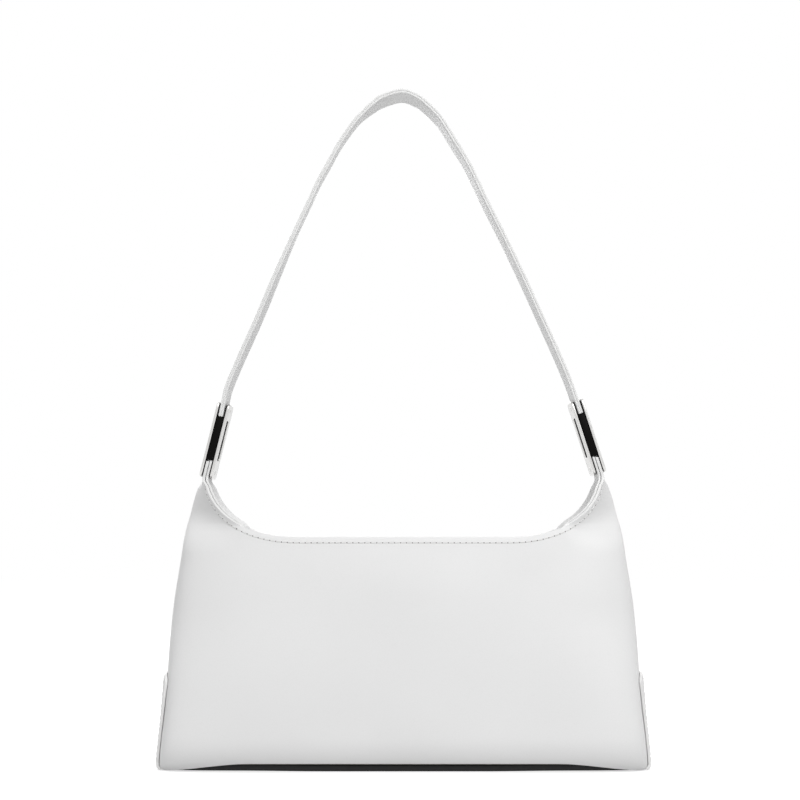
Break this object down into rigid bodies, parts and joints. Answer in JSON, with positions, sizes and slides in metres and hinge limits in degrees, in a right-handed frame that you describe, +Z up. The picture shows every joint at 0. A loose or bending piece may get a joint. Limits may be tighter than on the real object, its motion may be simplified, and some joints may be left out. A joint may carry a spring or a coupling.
{
  "type": "shoulder bag",
  "caption": "Wedge-shaped leather shoulder bag with a scooped mouth between two horns, a standing strap on metal links, and a recessed top zip.",
  "frame": {"origin": "on the floor, under the middle of the bag", "axes": "+Z up, the front panel faces -Y, the bag's width runs along X"},
  "size_m": [0.2754, 0.071, 0.3816],
  "materials": {
    "white_leather": "smooth, lightly glossy white leather",
    "inner_leather": "white leather, matt inner face",
    "black_base": "matt black",
    "black_lacquer": "gloss black lacquer",
    "polished_steel": "polished",
    "stiff_board": "plain stiffening board",
    "lining_cloth": "fine ivory twill",
    "zip_tape": "woven white tape"
  },
  "bodies": {
    "bag": {"front_panel": "white_leather", "back_panel": "white_leather", "left_end_patch": "white_leather", "right_end_patch": "white_leather", "left_neck": "white_leather", "right_neck": "white_leather", "front_facing": "inner_leather", "back_facing": "inner_leather", "left_zip_end_tab": "inner_leather", "right_zip_end_tab": "inner_leather", "base_panel": "black_base", "zip_stop": "polished_steel", "front_zip_teeth": "polished_steel", "back_zip_teeth": "polished_steel", "base_board": "stiff_board", "front_stiffener": "stiff_board", "back_stiffener": "stiff_board", "lining": "lining_cloth", "slip_pocket": "lining_cloth", "front_zip_tape": "zip_tape", "back_zip_tape": "zip_tape"},
    "handle": {"left_link_outer_plate": "polished_steel", "left_link_inner_plate": "polished_steel", "left_link_core": "black_lacquer", "left_link_lower_rivet": "polished_steel", "left_link_upper_rivet": "polished_steel", "right_link_outer_plate": "polished_steel", "right_link_inner_plate": "polished_steel", "right_link_core": "black_lacquer", "right_link_lower_rivet": "polished_steel", "right_link_upper_rivet": "polished_steel", "strap_outer": "white_leather", "strap_lining": "inner_leather"},
    "slider": {"zip_slider": "polished_steel"},
    "puller": {"zip_puller": "polished_steel"}
  },
  "joints": [
    {"name": "handle_fall", "type": "hinge", "parent": "bag", "child": "handle", "pos_m": [0, 0, 0.161], "axis": [1, 0, 0], "range_deg": [-90, 90], "deforming": ["left_neck", "right_neck"]},
    {"name": "zip_slide", "type": "slide", "parent": "bag", "child": "slider", "axis": [-1, 0, 0], "range_m": [0, 0.15], "deforming": ["front_zip_tape", "back_zip_tape", "front_zip_teeth", "back_zip_teeth"]},
    {"name": "puller_flip", "type": "hinge", "parent": "slider", "child": "puller", "pos_m": [0.0785, 0, 0.1208], "axis": [0, 1, 0], "range_deg": [0, 170]}
  ]
}
